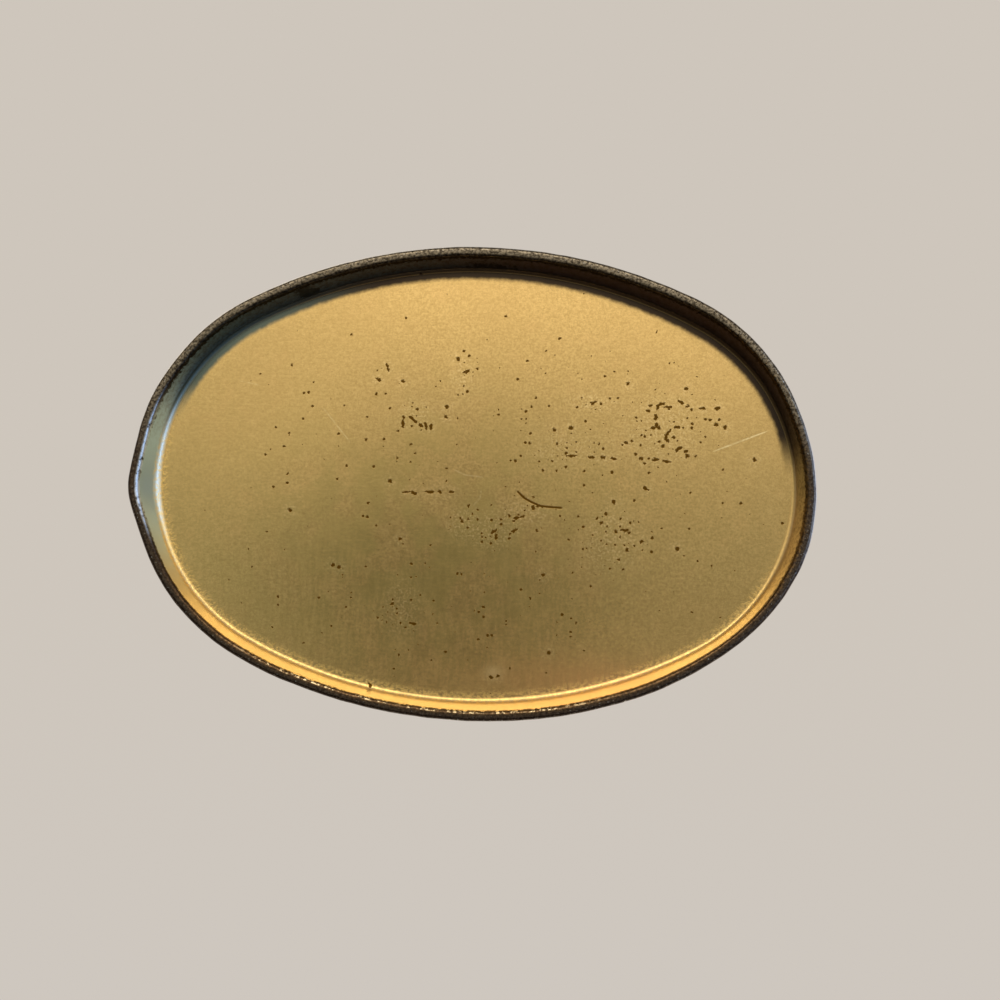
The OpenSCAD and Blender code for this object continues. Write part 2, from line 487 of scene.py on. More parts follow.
class Nodes:
    """Short calls that make the nodes of one tree."""

    def __init__(self, tree):
        self.tree = tree
        tree.nodes.clear()

    def node(self, kind, inputs=None, **settings):
        """A node with its settings and inputs, which are values or other nodes' outputs."""
        made = self.tree.nodes.new("ShaderNode" + kind)
        for key, value in settings.items():
            setattr(made, key, value)
        for key, value in (inputs or {}).items():
            self.put(value, made.inputs[key])
        return made

    def put(self, value, socket):
        if isinstance(value, bpy.types.NodeSocket):
            self.tree.links.new(value, socket)
        else:
            socket.default_value = value

    def math(self, operation, a, b=0.0):
        return self.node("Math", {0: a, 1: b}, operation=operation).outputs[0]

    def joined(self, operation, *values):
        """Values joined one after another by an operation."""
        return reduce(partial(self.math, operation), values)

    plus = partialmethod(math, "ADD")
    minus = partialmethod(math, "SUBTRACT")
    times = partialmethod(math, "MULTIPLY")
    total = partialmethod(joined, "ADD")
    both = partialmethod(joined, "MULTIPLY")
    either = partialmethod(joined, "MAXIMUM")
    nearest = partialmethod(joined, "MINIMUM")

    def vector(self, operation, a, b=(0, 0, 0)):
        made = self.node("VectorMath", {0: a, 1: b}, operation=operation)
        measured = operation in ("DOT_PRODUCT", "LENGTH", "DISTANCE")
        return made.outputs["Value" if measured else "Vector"]

    def scaled(self, a, factor):
        return self.node("VectorMath", {0: a, "Scale": factor}, operation="SCALE").outputs[0]

    def parts(self, vector):
        return self.node("SeparateXYZ", {0: vector}).outputs

    def fade(self, value, low, high, start=0.0, end=1.0):
        """An even change from start at low to end at high."""
        inputs = {"Value": value, "From Min": low, "From Max": high, "To Min": start, "To Max": end}
        return self.node("MapRange", inputs, interpolation_type="SMOOTHSTEP").outputs[0]

    def band(self, value, start, full, thinning, end):
        """1 from full to thinning, and 0 before start and after end."""
        return self.both(self.fade(value, start, full), self.fade(value, end, thinning))

    def mix(self, share, a, b):
        return self.node("Mix", {0: share, 6: a, 7: b}, data_type="RGBA").outputs[2]

    def layered(self, colour, *layers):
        """A colour with layers over it, each as a mask and a colour."""
        for mask, over in layers:
            colour = self.mix(mask, colour, over)
        return colour


class Finish(Nodes):
    """One material, with the place of what it colours in millimetres."""

    def __init__(self, name):
        self.material = bpy.data.materials.new(name)
        self.material.use_nodes = True
        super().__init__(self.material.node_tree)
        self.output = self.node("OutputMaterial")
        self.shader = self.node("BsdfPrincipled")
        self.put(self.shader.outputs[0], self.output.inputs["Surface"])
        self.spot = self.scaled(self.node("TexCoord").outputs["Object"], 1 / MM)

    def set(self, **values):
        """Sets or links the shader's inputs."""
        for key, value in values.items():
            self.put(value, self.shader.inputs[key.replace("_", " ").title()])

    def lengths(self):
        """Millimetres along the piece's outline."""
        profile = self.node("UVMap", uv_map="profile").outputs[0]
        return self.times(self.parts(profile)[1], UV_UNIT)

    def stretched(self, x, y, z):
        return self.vector("MULTIPLY", self.spot, (x, y, z))

    def clouds(self, scale, detail=3.0, rough=0.55, vector=None):
        inputs = {"Vector": vector or self.spot, "Scale": scale, "Detail": detail}
        return self.node("TexNoise", {**inputs, "Roughness": rough}).outputs["Fac"]

    def wander(self, reach, *clouds):
        """Clouds about 0 instead of one half, times a reach."""
        return self.times(self.minus(self.clouds(*clouds), 0.5), reach)

    def bump(self, height, strength, distance):
        inputs = {"Height": height, "Strength": strength, "Distance": distance}
        return self.node("Bump", inputs).outputs[0]


def ragged(f, spot, scale, reach):
    """A spot moved by fine clouds, so that shapes come out with ragged edges."""
    inputs = {"Vector": spot, "Scale": scale, "Detail": 2.0}
    moves = f.node("TexNoise", inputs).outputs["Color"]
    shift = f.scaled(f.vector("SUBTRACT", moves, (0.5, 0.5, 0.5)), reach)
    return f.vector("ADD", spot, shift)


def near_segment(f, spot, start, end):
    """Distance in millimetres from a segment on the flat."""
    length = math.dist(start, end)
    along = (*[(b - a) / length for a, b in zip(start, end)], 0)
    offset = f.vector("SUBTRACT", spot, (*start, 0))
    run = f.vector("DOT_PRODUCT", offset, along)
    run = f.nearest(f.either(run, 0.0), length)
    return f.vector("LENGTH", f.vector("SUBTRACT", offset, f.scaled(along, run)))


def lens(f, spot, start, end, thickness):
    """0 along a short dash on the flat, and 1 at the edge of a lens round it."""
    length = math.dist(start, end)
    reach = f.total(*[f.vector("DISTANCE", spot, (*tip, 0)) for tip in (start, end)])
    return f.times(f.minus(reach, length), 2 * length / thickness**2)


def patch(f, spot, centre, reach, strength):
    """A soft patch on the flat, strongest at its centre."""
    offset = f.vector("SUBTRACT", spot, (*centre, 0))
    shares = f.vector("MULTIPLY", offset, (1 / reach[0], 1 / reach[1], 0))
    square = f.vector("DOT_PRODUCT", shares, shares)
    return f.times(f.math("EXPONENT", f.times(square, -1.0)), strength)


def specks(f, spot, cell, density, share, fewest, sizes):
    """Ragged specks, at most one in each cell, and the density there, from a function."""
    moved = ragged(f, spot, 1.6 / cell, 0.45)
    inputs = {"Vector": f.scaled(moved, 1 / cell), "Scale": 1.0}
    cells = f.node("TexVoronoi", inputs, voronoi_dimensions="2D")
    there = density(f, f.scaled(cells.outputs["Position"], cell))
    chance = f.node("SeparateColor", {0: cells.outputs["Color"]})
    likely = f.plus(f.times(there, share), fewest)
    present = f.math("LESS_THAN", chance.outputs[0], likely)
    size = f.fade(f.math("POWER", chance.outputs[1], 1.6), 0, 1, *sizes)
    distance = f.times(cells.outputs["Distance"], cell)
    inside = f.fade(f.math("DIVIDE", distance, size), 0.7, 1.1, 1, 0)
    return f.both(present, inside), there


# Marks on the base are placed by the pixels of the photograph that show them

PIXELS_PER_MM = 6.73
WALL_SEEN = 2


def on_panel(x, y):
    """The place on the base's panel that a pixel shows."""
    return seen_at(x, y, PANEL_LEVEL - SHEET / 2)


def on_wall(x, y):
    """The place half way down the base's wall that a pixel shows."""
    return seen_at(x, y, WALL_SEEN)


def reach_of(x, y):
    """Millimetres for a width and a height in pixels."""
    return (x / PIXELS_PER_MM, y / PIXELS_PER_MM)


# Patches of small rust pits, as middle, reach and strength
PIT_PATCHES = [
    ((665, 430), (42, 40), 0.5), ((616, 530), (30, 22), 0.6), ((415, 412), (22, 18), 0.4),
    ((463, 374), (14, 24), 0.5), ((494, 534), (16, 14), 0.95), ((464, 524), (18, 16), 0.7),
    ((525, 512), (26, 14), 0.6), ((402, 610), (20, 32), 0.5), ((592, 402), (20, 8), 0.7),
    ((560, 450), (44, 26), 0.35), ((606, 560), (36, 22), 0.3), ((520, 430), (170, 80), 0.12),
    ((470, 590), (170, 70), 0.14), ((320, 420), (80, 50), 0.08),
]

# Larger pits, one by one
LARGE_PITS = [
    (458, 359), (403, 381), (447, 407), (446, 417), (554, 430), (462, 521), (400, 539), (533, 508),
    (628, 384), (686, 389), (571, 428), (626, 443), (663, 446), (687, 456), (725, 428), (754, 460),
    (606, 514), (601, 523), (616, 532), (677, 549), (627, 550), (290, 510), (333, 565), (339, 567),
    (543, 575), (549, 653), (491, 677), (498, 676), (716, 425), (390, 481), (593, 403),
]
LARGE_PIT_REACH = 2.15

# Pits that run together, as a line's points
PIT_DASHES = [
    [(403, 492), (411, 492), (417, 494)], [(425, 492), (434, 492)], [(439, 492), (442, 492)],
    [(449, 492), (454, 492)], [(566, 456), (577, 456)], [(588, 457), (594, 458)],
    [(601, 457), (605, 458)], [(611, 458), (616, 459)], [(640, 458), (643, 460)],
    [(652, 460), (659, 460)], [(662, 461), (671, 462)], [(649, 406), (652, 406)],
    [(657, 410), (658, 405), (665, 403)], [(664, 407), (672, 407)], [(678, 401), (684, 404)],
    [(686, 407), (689, 406)], [(646, 411), (650, 412)], [(699, 408), (705, 409)],
    [(715, 409), (720, 408)], [(590, 403), (597, 402)], [(655, 415), (657, 419)],
    [(656, 423), (657, 427), (660, 429)], [(651, 428), (656, 428)],
    [(671, 429), (666, 436), (666, 440), (669, 442)], [(674, 427), (680, 428)],
    [(676, 452), (678, 448), (682, 448)], [(684, 452), (688, 451)], [(643, 488), (649, 490)],
    [(403, 419), (403, 428)], [(409, 416), (417, 423)], [(419, 425), (423, 426)],
    [(425, 422), (427, 430)], [(431, 424), (431, 430)], [(376, 378), (381, 381)],
    [(386, 363), (389, 371)], [(463, 373), (470, 371)], [(491, 533), (497, 529)],
    [(496, 534), (496, 539)], [(514, 518), (519, 518), (525, 516)], [(511, 532), (518, 529)],
    [(613, 500), (614, 504)], [(620, 530), (629, 531)], [(640, 543), (643, 541)],
    [(411, 624), (416, 624)], [(391, 605), (393, 603)], [(369, 683), (371, 688)],
]
DASH_REACH = 1.45

# Scratches, as a line's points
DARK_SCRATCH = [(518, 492), (524, 498), (531, 502), (540, 506), (548, 507), (561, 508)]
BRIGHT_SCRATCH = [(712, 452), (768, 431)]
BRIGHT_THICKNESS = 0.27
FAINT_SCRATCHES = [
    [(241, 381), (259, 385)], [(324, 409), (350, 442)], [(455, 470), (465, 475), (482, 477)],
    [(474, 505), (480, 498), (481, 491)],
]

# A spot of painted glint, patches of other tones on the panel and dark smudges on the wall, as
# middle and reach
GLINT_SPOT = ((493, 672), (9, 6))
OLIVE_PATCH = ((430, 545), (150, 120))
RUDDY_PATCH = ((610, 682), (120, 22))
GRAINY_PATCHES = [((560, 440), (190, 150)), ((440, 570), (190, 120))]
WALL_SMUDGES = [((310, 293), (20, 9)), ((232, 348), (17, 13)), ((487, 267), (36, 6))]

# Colours of the base: lacquer, in pairs where grains vary it, then marks with painted highlights
# and glints, wall and seam
GOLD = (tone(199, 168, 106), tone(221, 189, 124))
GOLD_GRAINY = (tone(188, 158, 98), tone(232, 199, 132))
GOLD_FADED = tone(200, 168, 108)
GOLD_OLIVE = tone(199, 175, 109)
GOLD_WARM = tone(228, 188, 126)
GOLD_RUDDY = tone(238, 182, 120)
GOLD_ROLLED = tone(172, 150, 88)
STREAK_DARK = tone(176, 146, 90)
STREAK_LIGHT = tone(240, 206, 140)
# Painted glints among the pits and at one spot
PIT_GLINT = tone(248, 218, 158)
# Painted highlight on specks along the panel's near edge and left end
EDGE_HIGHLIGHT = tone(250, 212, 128)
SCRATCH_LIGHT = tone(255, 234, 182)
RUST = tone(92, 64, 16)
WALL_LACQUER = tone(216, 200, 166)
WALL_COOL = tone(172, 186, 194)
WALL_DULL = tone(152, 138, 142)
FILLET_BARE = tone(224, 222, 204)
FILLET_GOLD = tone(238, 206, 142)
FILLET_DULL = tone(126, 138, 130)
# Darker in spots on the far and right walls
WALL_DARKER = tone(112, 90, 72)
SMUDGE = tone(84, 78, 66)
# Painted shade at the far foot of the wall, cool at the left end and dark elsewhere
FOOT_SHADE_COOL = tone(92, 102, 94)
FOOT_SHADE_DARK = tone(52, 44, 36)
PATINA = (tone(40, 32, 26), tone(74, 60, 46))
PATINA_NEAR = (tone(64, 50, 36), tone(112, 88, 60))
PATINA_FAR = (tone(56, 48, 36), tone(102, 89, 66))
PATINA_RIGHT = (tone(48, 36, 24), tone(120, 94, 56))
PATINA_OUTER = (tone(54, 45, 38), tone(88, 76, 64))
PATINA_OUTER_FAR = (tone(48, 42, 34), tone(134, 124, 106))
# Painted highlight line on the seam's outer edge at the right end
RIM_HIGHLIGHT = tone(124, 121, 116)
RUBBED = tone(200, 204, 206)
FLECK = tone(196, 194, 188)
# Knocks of bare metal on the seam's inner bend, partly painted glints
KNOCK_GLINT = tone(236, 216, 172)


class BaseFinish(Finish):
    """The base's material, with masks that its layers share.

    Lengths across count from the panel's edge: the fillet lies at about 1.4 to 2.4, then the wall,
    then the seam's crest. In the photograph +X is right, +Y is near and -Y is far.
    """

    def __init__(self, crest_at):
        super().__init__("gold_lacquer_worn")
        self.flat = self.stretched(1, 1, 0)
        self.x, self.y, _ = self.parts(self.spot)
        self.across = self.lengths()
        self.crest = self.minus(self.across, crest_at)
        self.on_flat = self.fade(self.across, 3, 2.2)
        self.wall = self.fade(self.across, 1.5, 2.7)
        self.far_side = self.fade(self.y, 0, -16)
        self.right_side = self.both(self.fade(self.x, 34, 42), self.fade(self.y, 24, 8))
        self.far_or_right = self.either(self.far_side, self.right_side)
        self.by_seam = self.both(self.fade(self.x, -22, -38), self.fade(self.y, 22, 4))
        self.grains = self.clouds(2.6, 5, 0.85)
        self.mottle = self.clouds(0.3, 4, 0.65)


def mark(f, middle, reach, strength=1, spot=None, seen=on_panel):
    """A soft patch, with its middle and reach given in pixels."""
    return patch(f, spot or f.flat, seen(*middle), reach_of(*reach), strength)


def panel_tint(f):
    """Lacquer with slow patches, fine grains, streaks and a rolled grain down the short side."""
    slow = f.clouds(0.06, 4, 0.6)
    rolled = f.clouds(1, 3, 0.65, f.stretched(1.6, 0.22, 1))
    streaks = f.clouds(1, 4, 0.75, f.stretched(0.7, 3.2, 1))
    blotches = f.fade(f.clouds(0.17, 2, 0.5), 0.38, 0.6)
    olive = mark(f, *OLIVE_PATCH)
    rich = f.either(*[mark(f, *place, 0.8) for place in GRAINY_PATCHES])
    lower = f.both(f.fade(f.y, 2, 18, 0.2, 1), f.fade(olive, 0, 0.5, 0.4, 1))
    return f.layered(
        f.mix(f.fade(f.grains, 0.34, 0.66), *GOLD),
        (rich, f.mix(f.fade(f.grains, 0.38, 0.62), *GOLD_GRAINY)),
        (f.fade(slow, 0.35, 0.65, 0, 0.25), GOLD_FADED),
        (f.both(olive, blotches), GOLD_OLIVE),
        (f.fade(f.mottle, 0.5, 0.75, 0, 0.16), GOLD_WARM),
        (mark(f, *RUDDY_PATCH, 0.65), GOLD_RUDDY),
        (f.both(f.fade(rolled, 0.38, 0.62, 0.32, 0), lower), GOLD_ROLLED),
        (f.fade(streaks, 0.52, 0.68, 0, 0.24), STREAK_DARK),
        (f.fade(streaks, 0.48, 0.32, 0, 0.24), STREAK_LIGHT),
    )


def pit_density(f, spot):
    """How thick the small pits lie at a spot."""
    return f.total(*[mark(f, *place, spot=spot) for place in PIT_PATCHES])


def rust_pits(f):
    """Masks of the rust pits, and of painted glints among them."""
    moved = f.vector("MULTIPLY", ragged(f, f.flat, 2.4, 0.55), (1, 1, 0))
    eaten = f.wander(4, 2.1, 3, 0.7)
    pits = [(*on_panel(*pit), 0) for pit in LARGE_PITS]
    from_pits = f.nearest(*[f.vector("DISTANCE", moved, pit) for pit in pits])
    from_pits = f.math("DIVIDE", from_pits, LARGE_PIT_REACH / PIXELS_PER_MM)
    thickness = 2 * DASH_REACH / PIXELS_PER_MM
    from_dashes = f.nearest(*[
        lens(f, moved, on_panel(*a), on_panel(*b), thickness)
        for points in PIT_DASHES
        for a, b in pairwise(points)
    ])
    large = f.fade(f.minus(from_pits, f.times(eaten, 0.3)), 0.7, 1.2, 1, 0)
    dashes = f.fade(f.minus(from_dashes, eaten), 0.6, 1.5, 1, 0)
    small, crowd = specks(f, f.flat, 0.68, pit_density, 0.6, 0.005, (0.06, 0.26))
    crowded = f.either(
        f.fade(crowd, 0.08, 0.6),
        f.fade(from_dashes, 22, 2, 0, 0.8),
        f.fade(from_pits, 5, 1.5, 0, 0.8),
    )
    # Painted glints: lighter specks where the pits crowd
    speckled = f.fade(f.clouds(3, 3, 0.6), 0.5, 0.62)
    pitted = f.both(f.either(small, large, dashes), f.on_flat)
    return pitted, f.both(crowded, speckled, f.on_flat)


def from_line(f, points):
    """Millimetres from a line on the panel, given by pixels."""
    ends = [on_panel(*point) for point in points]
    return f.nearest(*[near_segment(f, f.flat, a, b) for a, b in pairwise(ends)])


def scratches(f):
    """Masks of the dark scratch and of the bright ones."""
    dark = f.fade(from_line(f, DARK_SCRATCH), 0.1, 0.24, 1, 0)
    ends = [on_panel(*end) for end in BRIGHT_SCRATCH]
    bright = f.either(
        f.fade(lens(f, f.flat, *ends, BRIGHT_THICKNESS), 0.2, 1.4, 0.75, 0),
        *[f.fade(from_line(f, line), 0.04, 0.15, 0.32, 0) for line in FAINT_SCRATCHES],
    )
    broken = f.fade(f.clouds(1.4, 2), 0.35, 0.6, 0.2, 1)
    return f.both(dark, f.on_flat), f.both(bright, broken, f.on_flat)


def painted_edge_highlight(f):
    """Mask of painted highlight specks along the near edge of the panel and its left end."""
    near = f.either(f.fade(f.y, 8, 18), f.fade(f.x, -26, -36))
    speckled = f.fade(f.clouds(2, 3, 0.7), 0.46, 0.6)
    at_edge = f.both(f.fade(f.across, 0, 1.3), f.on_flat)
    return f.both(at_edge, speckled, near, f.fade(f.y, -10, -2))


def wall_layers(f):
    """Thin lacquer on the drawn wall, rubbed off by the side seam and along the far side, and
    darker in spots on the far and right walls.
    """
    far_tint = f.mix(f.fade(f.x, -20, 12), WALL_COOL, WALL_DULL)
    fillet_tint = f.mix(f.fade(f.y, 3, 11), FILLET_BARE, FILLET_GOLD)
    fillet_tint = f.mix(f.fade(f.y, -4, -14), fillet_tint, FILLET_DULL)
    seam_tint = f.mix(f.fade(f.across, 2.2, 2.8), fillet_tint, WALL_COOL)
    spotted = f.fade(f.clouds(1.6, 4, 0.8), 0.42, 0.62)
    # Darker in spots on the far and right walls
    darkened_spots = f.both(f.far_or_right, f.fade(f.across, 1.6, 3.2), spotted)
    return (
        (f.wall, WALL_LACQUER),
        (f.both(f.far_side, f.wall), far_tint),
        (f.both(f.by_seam, f.fade(f.across, 1.2, 1.7)), seam_tint),
        (f.times(darkened_spots, 0.55), WALL_DARKER),
    )


def far_foot_shade(f):
    """Mask and colour of painted shade at the far foot of the wall, cooler at the left end."""
    on_edge = f.fade(f.across, 1.75, 1.45)
    on_fillet = f.fade(f.across, 2.8, 2.2, 0, 0.78)
    creeping = f.plus(f.across, f.wander(0.5, 0.9, 3, 0.7))
    far = f.minus(f.y, f.fade(f.x, 20, 38, 0, 6.5))
    there = f.both(
        f.fade(far, -8, -15),
        f.fade(creeping, 0.05, 0.9),
        f.fade(f.across, 0, 0.2),
        f.either(on_edge, on_fillet),
    )
    return there, f.mix(f.fade(f.x, -36, -14), FOOT_SHADE_COOL, FOOT_SHADE_DARK)


def smudges(f):
    """Mask of the dark smudges on the wall."""
    smudge = f.either(*[mark(f, *place, seen=on_wall) for place in WALL_SMUDGES])
    frayed = f.plus(smudge, f.wander(1.8, 1.1, 4, 0.75))
    return f.both(f.fade(frayed, 0.55, 0.75), f.wall)


def seam_edge(f):
    """Length across from the toothed edge of the worn metal on the seam."""
    teeth = f.wander(f.fade(f.far_or_right, 0, 1, 1.1, 2.6), 2, 4, 0.75)
    return f.total(f.crest, teeth, f.times(f.far_or_right, 0.25))


def rubbed_bend(f):
    """Mask of the bright smears on the seam's inner bend, by the side seam."""
    by_kink = f.both(f.fade(f.x, -34, -42), f.band(f.y, -14, -4, 3, 11))
    smears = f.fade(f.clouds(1.3, 3, 0.7), 0.28, 0.55)
    return f.both(f.band(f.crest, -0.1, 0.1, 0.75, 1.1), smears, by_kink)


def knocks_and_glints(f):
    """Mask of bright knocks on the seam's inner bend, on the near side: bare metal, and partly
    painted glints.
    """
    there = f.both(f.fade(f.y, 24, 29), f.fade(f.x, 24, 10))
    knocked = f.fade(f.clouds(1.2, 3, 0.7), 0.52, 0.58)
    return f.both(knocked, f.band(f.crest, 0.05, 0.25, 0.7, 1), there)


def patina(f, edge, rubbed):
    """Dark, worn metal on the seam, lighter outside and in flecks, with a painted highlight line
    along the outer edge at the right end.
    """
    spread = f.fade(f.clouds(2.4, 4, 0.75), 0.38, 0.62)
    tints = (PATINA_OUTER, PATINA_OUTER_FAR)
    outer = f.mix(f.far_side, *[f.mix(spread, *pair) for pair in tints])
    at_end = f.band(f.y, -16, -8, 6, 12)
    broken = f.fade(f.clouds(1, 3, 0.7), 0.3, 0.5)
    # Painted highlight line along the outer edge at the right end
    rim_highlight_line = f.both(f.right_side, at_end, f.fade(f.crest, 1.6, 1.8), broken)
    flecks = f.fade(f.clouds(2.6, 4, 0.75), 0.6, 0.68)
    flecks = f.both(flecks, f.fade(f.crest, 0.9, 1.4))
    return f.layered(
        f.mix(spread, *PATINA),
        (f.fade(f.y, 12, 26), f.mix(spread, *PATINA_NEAR)),
        (f.fade(f.y, -14, -28), f.mix(spread, *PATINA_FAR)),
        (f.right_side, f.mix(spread, *PATINA_RIGHT)),
        (f.fade(edge, 0.8, 1.4), outer),
        (rim_highlight_line, RIM_HIGHLIGHT),
        (rubbed, RUBBED),
        (f.times(flecks, 0.8), FLECK),
        # Knocks that are partly painted glints
        (knocks_and_glints(f), KNOCK_GLINT),
    )


def worn_gold(crest_at):
    """Gold lacquer over tinplate, pitted and scratched, worn dark along the seam, with painted
    highlights and glints and painted shade at the far foot of the wall.
    """
    f = BaseFinish(crest_at)
    pitted, pit_glints = rust_pits(f)
    dark, bright = scratches(f)
    dull = f.either(pitted, dark)
    edge_highlight = painted_edge_highlight(f)
    rubbed = rubbed_bend(f)
    edge = seam_edge(f)
    worn = f.fade(edge, 0, 0.2)
    colour = f.layered(
        panel_tint(f),
        *wall_layers(f),
        # Painted glints among the pits and at one spot
        (f.times(f.either(pit_glints, mark(f, *GLINT_SPOT)), 0.62), PIT_GLINT),
        # Painted highlight specks along the panel's edge
        (f.times(edge_highlight, 0.7), EDGE_HIGHLIGHT),
        (bright, SCRATCH_LIGHT),
        (dull, RUST),
        # Painted shade at the far foot of the wall
        far_foot_shade(f),
        (f.times(smudges(f), 0.8), SMUDGE),
        (worn, patina(f, edge, rubbed)),
    )
    fillet = f.band(f.across, 1.1, 1.6, 2.2, 2.9)
    lacquered = f.total(
        f.fade(f.mottle, 0.3, 0.7, 0.2, 0.215),
        f.times(f.wall, 0.1),
        f.times(fillet, f.fade(f.by_seam, 0, 1, 0.1, 0.2)),
    )
    rough = f.either(lacquered, f.times(f.either(dull, rubbed), 0.45))
    relief = f.total(
        f.times(f.grains, 0.2),
        f.times(dull, -1.5),
        f.times(f.both(worn, f.clouds(3, 3)), 2),
        f.times(edge_highlight, 3),
    )
    f.set(base_color=colour, metallic=1.0, roughness=rough)
    f.set(normal=f.bump(relief, 0.12, 0.00004))
    return f.material


# Colours of the brown lacquer and of the tin under it
BROWN = (tone(46, 29, 20), tone(66, 42, 28))
BROWN_MOTTLED = tone(92, 62, 42)
BROWN_SCRATCHED = tone(124, 92, 66)
BROWN_THIN = tone(110, 76, 48)
BROWN_GONE = (tone(120, 104, 82), tone(172, 160, 138))
TIN_SPOTS = tone(92, 80, 66)


def brown_lacquer(name, worn_at):
    """Stoved lacquer, rubbed through at some lengths across, given with half widths."""
    f = Finish(name)
    across = f.lengths()
    height = f.parts(f.spot)[2]
    slow = f.clouds(0.05, 4, 0.6)
    fine = f.clouds(2.2, 4, 0.7)

    # Hairline scratches, thicker in places
    upright = f.fade(f.clouds(1, 2, 0.5, f.stretched(4.5, 4.5, 0.09)), 0.68, 0.76)
    level = f.fade(f.clouds(1, 2, 0.5, f.stretched(0.08, 0.08, 4.5)), 0.7, 0.78)
    thicker = f.fade(f.clouds(0.07, 3, 0.6), 0.42, 0.7, 0.1, 0.75)
    scratched = f.both(f.either(upright, level), thicker)

    # Edges rubbed through, and chips near the foot
    rub = f.either(*[
        f.fade(f.math("ABSOLUTE", f.minus(across, length)), half, 0) for length, half in worn_at
    ])
    frayed = f.plus(rub, f.wander(1.5, 0.5, 5, 0.7))
    thin = f.fade(frayed, 0.35, 0.8)
    chips = f.both(f.fade(f.clouds(1.3, 3, 0.65), 0.66, 0.7), f.fade(height, 22, 3))
    bare = f.either(f.fade(frayed, 0.72, 0.86), chips)

    colour = f.layered(
        f.mix(f.fade(slow, 0.3, 0.7), *BROWN),
        (f.fade(fine, 0.5, 0.8, 0, 0.35), BROWN_MOTTLED),
        (scratched, BROWN_SCRATCHED),
        (f.times(thin, 0.6), BROWN_THIN),
        (bare, f.mix(f.fade(fine, 0.4, 0.6), *BROWN_GONE)),
    )
    marred = f.times(f.either(bare, scratched), 0.14)
    rough = f.plus(f.fade(slow, 0.3, 0.7, 0.24, 0.36), marred)
    f.set(base_color=colour, metallic=f.times(bare, 0.9), roughness=rough)
    f.set(coat_weight=0.4, coat_roughness=0.14)
    relief = f.minus(f.times(f.clouds(0.7, 4, 0.6), 0.5), f.times(bare, 0.4))
    f.set(normal=f.bump(relief, 0.25, 0.00006))
    return f.material


def bare_tinplate(name, low, high):
    """Bright tinplate with a rolled grain, a bloom between two colours and dark spots."""
    f = Finish(name)
    grain = f.clouds(1, 4, 0.7, f.stretched(0.6, 0.6, 7))
    bloom = f.fade(f.clouds(0.12, 5, 0.65), 0.35, 0.65)
    spots = f.fade(f.clouds(1.3, 4, 0.75), 0.68, 0.74)
    colour = f.mix(spots, f.mix(bloom, low, high), TIN_SPOTS)
    rough = f.plus(f.fade(grain, 0.3, 0.7, 0.26, 0.38), f.times(spots, 0.25))
    f.set(base_color=colour, metallic=f.minus(1, f.times(spots, 0.6)), roughness=rough)
    f.set(normal=f.bump(grain, 0.12, 0.00003))
    return f.material


TIN = bare_tinplate("tinplate_bright", tone(176, 174, 168), tone(206, 204, 198))
INSIDE_GOLD = bare_tinplate("gold_lacquer_inside", tone(200, 164, 98), tone(222, 186, 116))
SOLDER = (tone(150, 150, 152), tone(186, 186, 186))
COMPOUND = (tone(92, 66, 48), tone(120, 88, 66))
FLOOR = tone(222, 216, 208)


def dull_solder():
    """Grey solder, drawn down in soft ripples."""
    f = Finish("solder_dull")
    ripple = f.clouds(0.8, 3, 0.6, f.stretched(1, 1, 0.5))
    colour = f.mix(f.fade(ripple, 0.3, 0.7), *SOLDER)
    f.set(base_color=colour, metallic=1.0, roughness=f.fade(ripple, 0.3, 0.7, 0.38, 0.55))
    f.set(normal=f.bump(ripple, 0.5, 0.0002))
    return f.material


def seam_compound():
    """Dark rubbery sealing compound."""
    f = Finish("seam_compound_dark")
    mottle = f.clouds(1.5, 3)
    colour = f.mix(f.fade(mottle, 0.3, 0.7), *COMPOUND)
    f.set(base_color=colour, roughness=f.fade(mottle, 0.3, 0.7, 0.6, 0.8))
    f.set(normal=f.bump(mottle, 0.3, 0.0001))
    return f.material


def pale_floor():
    """Plain pale floor, clear when seen from below."""
    f = Finish("floor_pale")
    f.set(base_color=FLOOR, roughness=0.9)
    clear = f.node("BsdfTransparent").outputs[0]
    below = f.node("NewGeometry").outputs["Backfacing"]
    sides = f.node("MixShader", {0: below, 1: f.shader.outputs[0], 2: clear})
    f.put(sides.outputs[0], f.output.inputs["Surface"])
    return f.material


# Pieces


def make_base():
    """The drawn end with its countersunk panel and the hooked seam."""
    line = [
        (BASE_PANEL_EDGE, PANEL_LEVEL),
        (BASE_FOOT, PANEL_LEVEL, FOOT_BEND),
        (CHUCK_WALL, SHEET / 2, CREST_BEND),
        (OUTER_SEAM, SHEET / 2, CREST_BEND),
        (OUTER_SEAM, SEAM_TURN, LAYER),
        (END_HOOK, SEAM_TURN, LAYER),
        (END_HOOK, END_HOOK_TOP),
    ]
    outside, outline, finishes = sheet(line, -1, 0.4, 0.6)
    to_crest = [point for point in outside[: len(outside) // 2] if point[1] > CREST_BEND]
    crest_at = sum(math.dist(a, b) for a, b in pairwise(to_crest))
    shell = Shell()
    rows = shell.sweep(RUNS, outline, finishes, base_moved, looped=False)
    shell.panel([row[0] for row in rows], BASE_RINGS, OUTER, base_waves)
    shell.panel([row[-1] for row in rows], BASE_RINGS, INNER, base_waves)
    gold = worn_gold(crest_at)
    shell.piece("base_end_drawn", [gold, TIN], "tin", ["base_end"])


